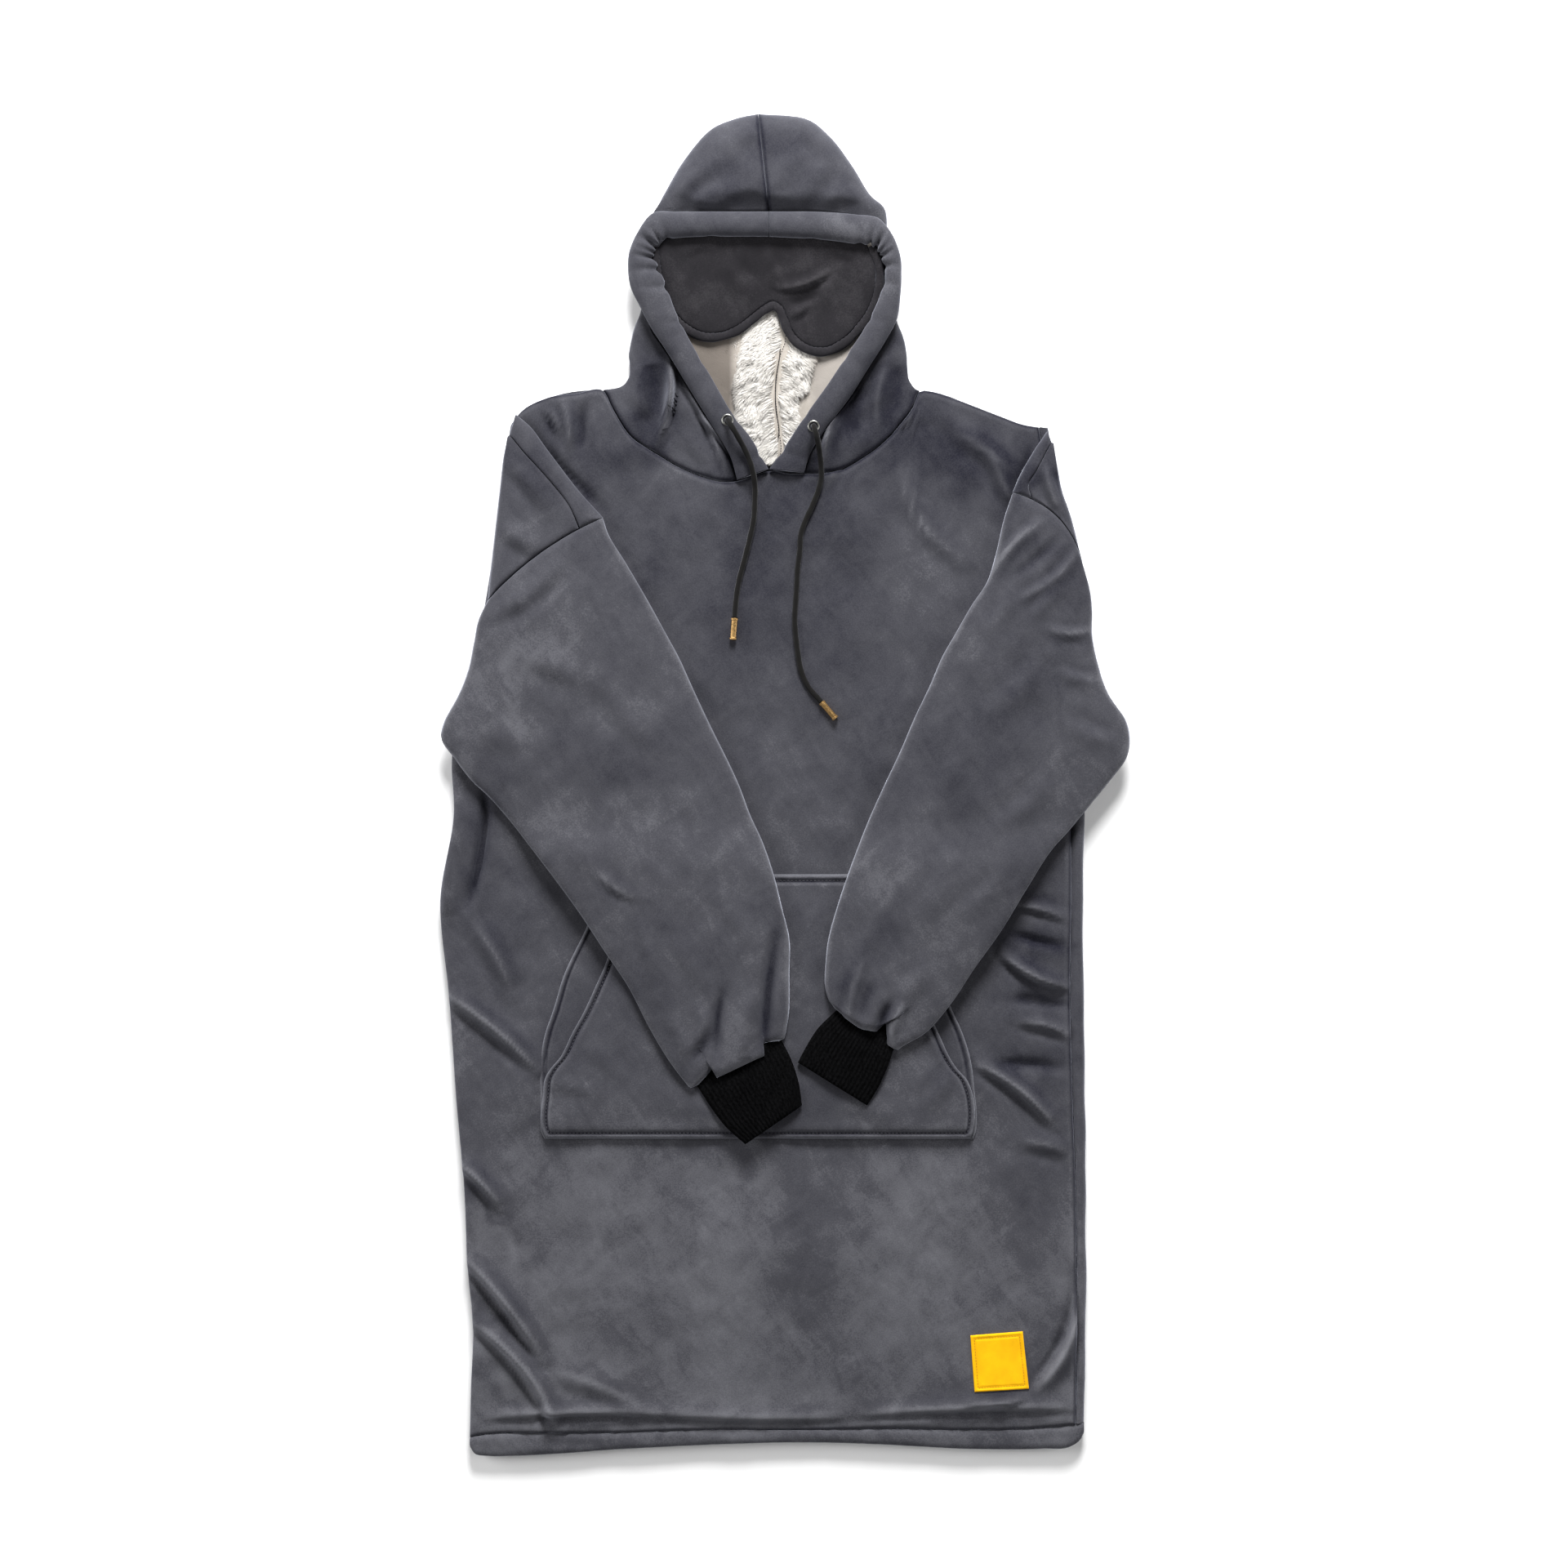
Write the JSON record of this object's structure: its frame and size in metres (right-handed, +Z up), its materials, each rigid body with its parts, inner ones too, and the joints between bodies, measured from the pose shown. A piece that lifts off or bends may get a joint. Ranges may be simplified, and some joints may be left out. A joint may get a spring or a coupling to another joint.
{
  "type": "hoodie",
  "caption": "Long oversized plush hoodie laid flat on its back, sleeves folded in over the front, hood open with a mask panel and fleece lining, drawcords and a pouch pocket.",
  "frame": {"origin": "centre of the garment's outline on the surface it lies on, under its back", "axes": "+Y from the hem towards the hood, +X towards the wearer's left sleeve, which is on the viewer's right, +Z up out of the front"},
  "size_m": [0.659, 1.284, 0.0406],
  "materials": {
    "plush": "slate grey brushed velvet plush",
    "fleece": "off-white long-pile fleece",
    "mask_cloth": "dark grey brushed cloth with a bound edge",
    "rib_knit": "black rib knit",
    "cord": "black braided cord",
    "label": "plain yellow cloth patch",
    "gold_metal": "polished gold tone",
    "nickel_metal": "dark nickel"
  },
  "bodies": {
    "root": {"back_panel": "plush", "cord_tip_left": "gold_metal", "cord_tip_right": "gold_metal", "cuff_left": "rib_knit", "cuff_right": "rib_knit", "drawcord_left": "cord", "drawcord_right": "cord", "eye_mask": "mask_cloth", "eye_mask_binding": "mask_cloth", "eyelet_left": "nickel_metal", "eyelet_right": "nickel_metal", "front_panel": "plush", "hem_band_back": "plush", "hem_band_front": "plush", "hood_casing_left": "plush", "hood_casing_right": "plush", "hood_left": "plush", "hood_lining_left": "fleece", "hood_lining_right": "fleece", "hood_right": "plush", "label_patch": "label", "pocket_backing": "plush", "pocket_front": "plush", "shoulder_fold_back_left": "plush", "shoulder_fold_back_right": "plush", "shoulder_fold_front_left": "plush", "shoulder_fold_front_right": "plush", "sleeve_left": "plush", "sleeve_right": "plush"}
  },
  "joints": []
}
